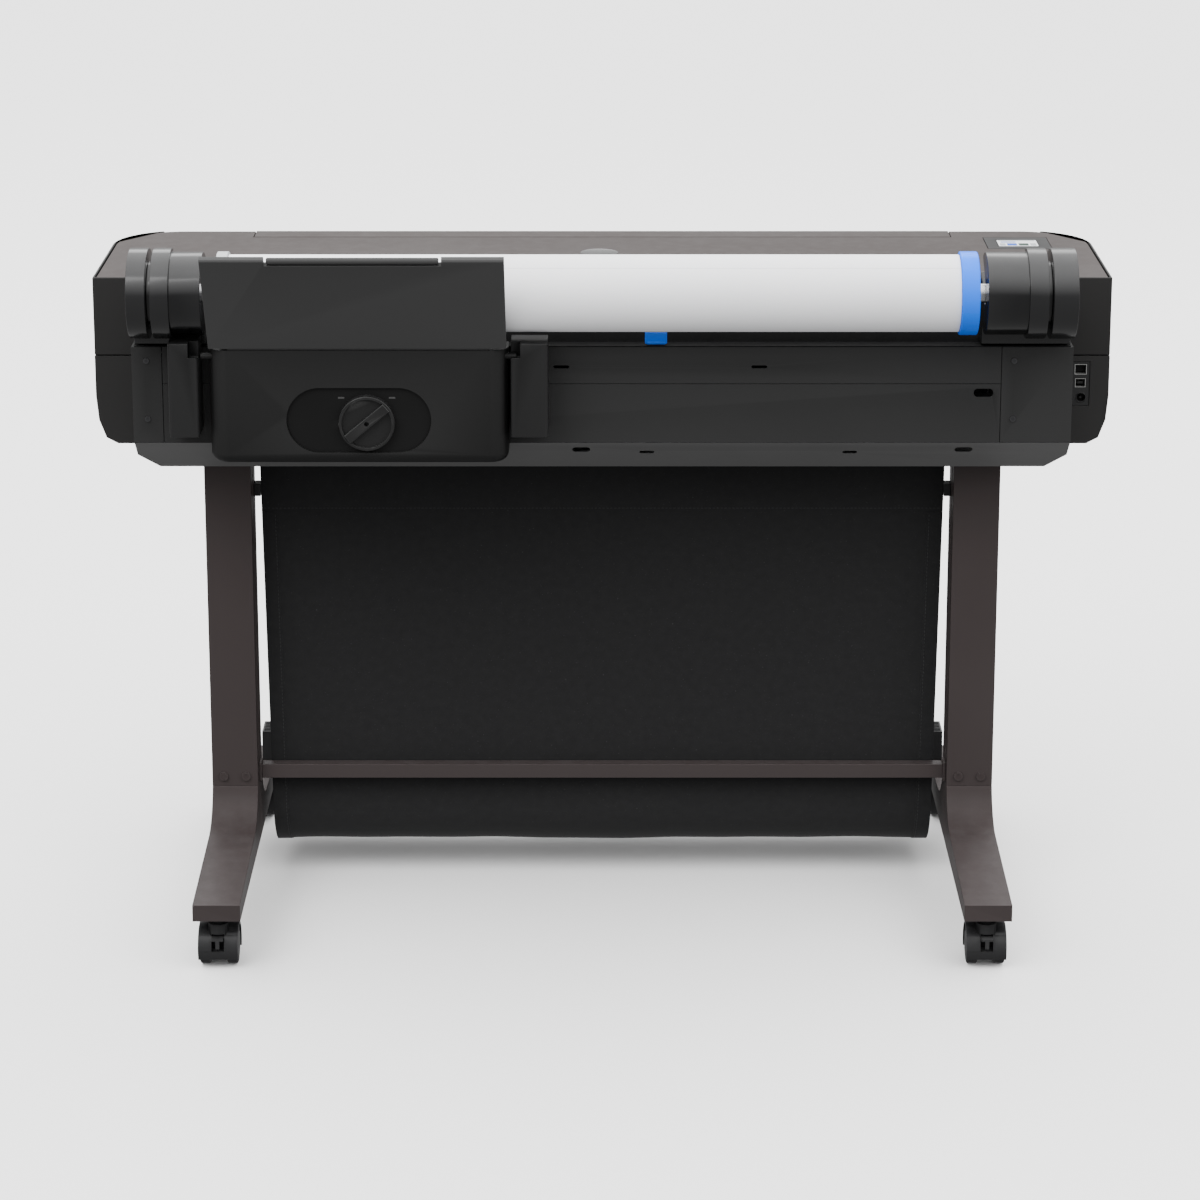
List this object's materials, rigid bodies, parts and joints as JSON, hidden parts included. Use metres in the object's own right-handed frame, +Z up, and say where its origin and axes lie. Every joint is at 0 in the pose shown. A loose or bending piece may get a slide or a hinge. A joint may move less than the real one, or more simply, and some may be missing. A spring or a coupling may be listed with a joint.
{
  "type": "large format plotter",
  "caption": "Free-standing roll plotter on a wheeled stand, with a roll spindle and a removable sheet feeder at the back, a touch display and a cloth catch bin.",
  "frame": {"origin": "on the floor, under the middle of the machine", "axes": "+X to the right seen from the loading side, +Y towards the output side, +Z up"},
  "size_m": [1.314, 0.605, 0.9344],
  "materials": {
    "stand_paint": "fine satin powder coat, warm charcoal",
    "end_cover": "fine-grained charcoal moulding",
    "panel": "fine-grained charcoal moulding",
    "skirt": "fine-grained grey moulding",
    "top": "fine-grained warm grey moulding",
    "black_gloss": "glossy black moulding",
    "black_plastic": "matt black moulding",
    "smoked_window": "smoked, nearly black",
    "blue_plastic": "sky blue moulding",
    "paper": "plain white paper",
    "steel": "machined steel",
    "rubber": "matt rubber",
    "caster_plastic": "black nylon",
    "bin_cloth": "black plain-woven polyester",
    "display": "display glass in a dark bezel",
    "grey_plastic": "light grey moulding",
    "ink": "black cartridge shell"
  },
  "bodies": {
    "root": {"base_tray": "skirt", "bin_brackets": "black_plastic", "bin_cloth_back": "bin_cloth", "bin_rear_rod": "stand_paint", "carriage_belt": "rubber", "carriage_frame": "steel", "control_panel": "display", "crossbar": "stand_paint", "drum_housings": "black_gloss", "fasteners": "steel", "feeder_posts": "panel", "front_fascia": "end_cover", "ink_cartridges": "ink", "left_end_lower": "end_cover", "left_end_upper": "end_cover", "left_foot": "stand_paint", "left_rear_cover": "panel", "left_upright": "stand_paint", "platen": "black_plastic", "port_block": "black_plastic", "rear_panel": "panel", "rear_strip": "panel", "right_end_lower": "end_cover", "right_end_upper": "end_cover", "right_foot": "stand_paint", "right_rear_cover": "panel", "right_upright": "stand_paint", "roll_bay": "black_plastic", "top_cover": "top"},
    "feeder": {"feeder_housing": "black_plastic", "feeder_tray": "panel"},
    "tray_extension": {"tray_extension": "black_plastic"},
    "knob": {"feeder_knob": "black_plastic"},
    "bin_frame": {"bin_front_frame": "stand_paint", "bin_cloth_front": "bin_cloth"},
    "window": {"front_window": "smoked_window"},
    "ink_door": {"cartridge_door": "end_cover"},
    "button": {"power_button": "black_plastic"},
    "latch": {"blue_latch": "blue_plastic"},
    "spindle": {"spindle_bar": "steel", "spindle_gear": "black_plastic", "left_stop": "grey_plastic", "paper_roll": "paper"},
    "blue_stop": {"right_stop": "blue_plastic"},
    "pinion": {"drive_pinion": "black_plastic"},
    "print_carriage": {"carriage": "black_plastic"},
    "drive_wheel": {"drive_pulley": "black_plastic"},
    "idler_wheel": {"idler_pulley": "black_plastic"},
    "feed": {"feed_roller": "rubber"},
    "pinch": {"pinch_rollers": "rubber"},
    "left_rear_caster": {"left_rear_caster_hood": "caster_plastic"},
    "left_rear_caster_wheel": {"left_rear_caster_wheels": "rubber"},
    "left_rear_caster_pedal": {"left_rear_caster_brake": "caster_plastic"},
    "left_front_caster": {"left_front_caster_hood": "caster_plastic"},
    "left_front_caster_wheel": {"left_front_caster_wheels": "rubber"},
    "right_rear_caster": {"right_rear_caster_hood": "caster_plastic"},
    "right_rear_caster_wheel": {"right_rear_caster_wheels": "rubber"},
    "right_rear_caster_pedal": {"right_rear_caster_brake": "caster_plastic"},
    "right_front_caster": {"right_front_caster_hood": "caster_plastic"},
    "right_front_caster_wheel": {"right_front_caster_wheels": "rubber"}
  },
  "joints": [
    {"name": "feeder_lift", "type": "slide", "parent": "root", "child": "feeder", "axis": [0, -0.9205, 0.3907], "range_m": [0, 0.06]},
    {"name": "tray_extend", "type": "slide", "parent": "feeder", "child": "tray_extension", "axis": [0, -0.5389, 0.8424], "range_m": [0, 0.1]},
    {"name": "knob_turn", "type": "hinge", "parent": "feeder", "child": "knob", "pos_m": [-0.296, -0.214, 0.704], "axis": [0, -1, 0], "range_deg": [0, 90]},
    {"name": "bin_fold", "type": "hinge", "parent": "root", "child": "bin_frame", "pos_m": [0, 0.25, 0.114], "axis": [1, 0, 0], "range_deg": [0, 30]},
    {"name": "window_open", "type": "hinge", "parent": "root", "child": "window", "pos_m": [0, 0.1995, 0.8551], "axis": [1, 0, 0], "range_deg": [0, 75]},
    {"name": "ink_door_open", "type": "hinge", "parent": "root", "child": "ink_door", "pos_m": [0.52, 0.2385, 0.6515], "axis": [-1, 0, 0], "range_deg": [0, 90]},
    {"name": "power_press", "type": "slide", "parent": "root", "child": "button", "axis": [0, -1, 0], "range_m": [0, 0.002], "stiffness_N_per_m": 400},
    {"name": "latch_tip", "type": "hinge", "parent": "root", "child": "latch", "pos_m": [0.068, -0.1525, 0.7934], "axis": [1, 0, 0], "range_deg": [0, 25]},
    {"name": "spindle_spin", "type": "hinge", "parent": "root", "child": "spindle", "pos_m": [0, -0.181, 0.8635], "axis": [1, 0, 0], "continuous": true},
    {"name": "blue_stop_slide", "type": "slide", "parent": "spindle", "child": "blue_stop", "axis": [1, 0, 0], "range_m": [0, 0.008]},
    {"name": "pinion_spin", "type": "hinge", "parent": "root", "child": "pinion", "pos_m": [0.53, -0.1898, 0.83066], "axis": [1, 0, 0], "continuous": true},
    {"name": "carriage_run", "type": "slide", "parent": "root", "child": "print_carriage", "axis": [1, 0, 0], "range_m": [-1.04, 0]},
    {"name": "drive_pulley_spin", "type": "hinge", "parent": "root", "child": "drive_wheel", "pos_m": [0.565, 0.014, 0.845], "axis": [0, 0, 1], "continuous": true},
    {"name": "idler_pulley_spin", "type": "hinge", "parent": "root", "child": "idler_wheel", "pos_m": [-0.565, 0.014, 0.845], "axis": [0, 0, 1], "continuous": true},
    {"name": "feed_spin", "type": "hinge", "parent": "root", "child": "feed", "pos_m": [0, -0.005, 0.738], "axis": [1, 0, 0], "continuous": true},
    {"name": "pinch_spin", "type": "hinge", "parent": "root", "child": "pinch", "pos_m": [0, -0.005, 0.7563], "axis": [1, 0, 0], "continuous": true},
    {"name": "left_rear_caster_swivel", "type": "hinge", "parent": "root", "child": "left_rear_caster", "pos_m": [-0.4925, -0.28, 0.06], "axis": [0, 0, 1], "continuous": true},
    {"name": "left_rear_caster_roll", "type": "hinge", "parent": "left_rear_caster", "child": "left_rear_caster_wheel", "pos_m": [-0.4925, -0.268, 0.025], "axis": [1, 0, 0], "continuous": true},
    {"name": "left_rear_caster_brake_press", "type": "hinge", "parent": "left_rear_caster", "child": "left_rear_caster_pedal", "pos_m": [-0.4925, -0.284, 0.042], "axis": [1, 0, 0], "range_deg": [0, 12]},
    {"name": "left_front_caster_swivel", "type": "hinge", "parent": "root", "child": "left_front_caster", "pos_m": [-0.4925, 0.28, 0.06], "axis": [0, 0, 1], "continuous": true},
    {"name": "left_front_caster_roll", "type": "hinge", "parent": "left_front_caster", "child": "left_front_caster_wheel", "pos_m": [-0.4925, 0.268, 0.025], "axis": [1, 0, 0], "continuous": true},
    {"name": "right_rear_caster_swivel", "type": "hinge", "parent": "root", "child": "right_rear_caster", "pos_m": [0.4925, -0.28, 0.06], "axis": [0, 0, 1], "continuous": true},
    {"name": "right_rear_caster_roll", "type": "hinge", "parent": "right_rear_caster", "child": "right_rear_caster_wheel", "pos_m": [0.4925, -0.268, 0.025], "axis": [1, 0, 0], "continuous": true},
    {"name": "right_rear_caster_brake_press", "type": "hinge", "parent": "right_rear_caster", "child": "right_rear_caster_pedal", "pos_m": [0.4925, -0.284, 0.042], "axis": [1, 0, 0], "range_deg": [0, 12]},
    {"name": "right_front_caster_swivel", "type": "hinge", "parent": "root", "child": "right_front_caster", "pos_m": [0.4925, 0.28, 0.06], "axis": [0, 0, 1], "continuous": true},
    {"name": "right_front_caster_roll", "type": "hinge", "parent": "right_front_caster", "child": "right_front_caster_wheel", "pos_m": [0.4925, 0.268, 0.025], "axis": [1, 0, 0], "continuous": true}
  ],
  "couplings": [
    {"joint": "pinion_spin", "follows": "spindle_spin", "ratio": -2.4},
    {"joint": "drive_pulley_spin", "follows": "carriage_run", "rad_per_m": -121.95},
    {"joint": "idler_pulley_spin", "follows": "carriage_run", "rad_per_m": -121.95},
    {"joint": "pinch_spin", "follows": "feed_spin", "ratio": -2}
  ]
}
